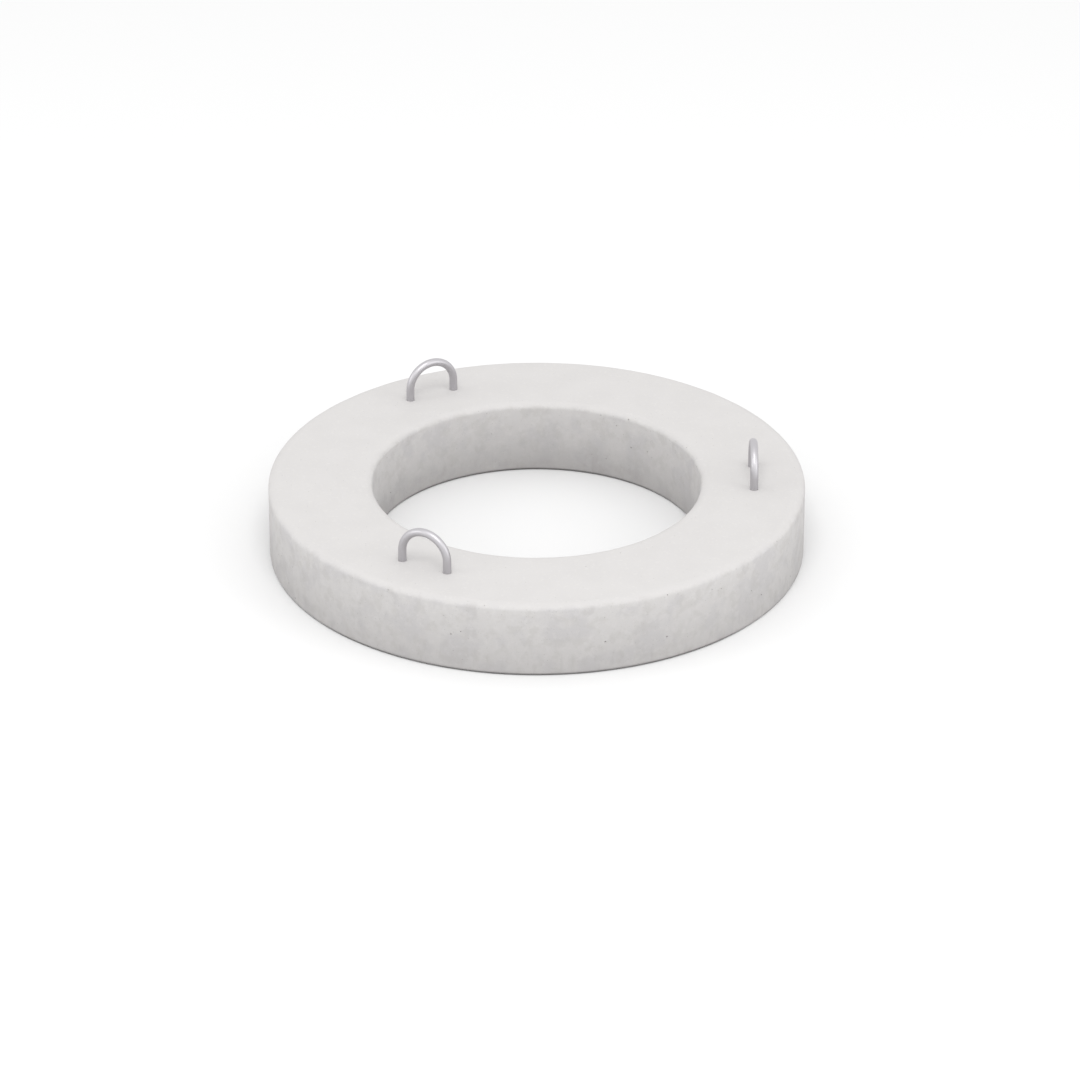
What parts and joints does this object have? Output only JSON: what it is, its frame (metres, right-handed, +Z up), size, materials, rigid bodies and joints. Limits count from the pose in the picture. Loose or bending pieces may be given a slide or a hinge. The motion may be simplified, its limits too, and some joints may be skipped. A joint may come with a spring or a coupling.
{
  "type": "concrete culvert ring",
  "caption": "Flat precast concrete ring with a wide central opening, rounded upper rims and bent steel lifting loops cast into its top face.",
  "frame": {"origin": "centre of the underside, on the ring's axis, where it rests", "axes": "+Z up along the axis of the opening; +X towards the right lifting loop, and the other two loops stand at 120 and 240 degrees"},
  "size_m": [1.06, 1.06, 0.23],
  "materials": {
    "concrete": "pale grey cast concrete, smooth and matt, with faint clouding and fine air pores",
    "loop_steel": "plain round bar, bright and satin"
  },
  "bodies": {
    "root": {"concrete_ring": "concrete", "lifting_loop_right": "loop_steel", "lifting_loop_back": "loop_steel", "lifting_loop_front": "loop_steel"}
  },
  "joints": []
}
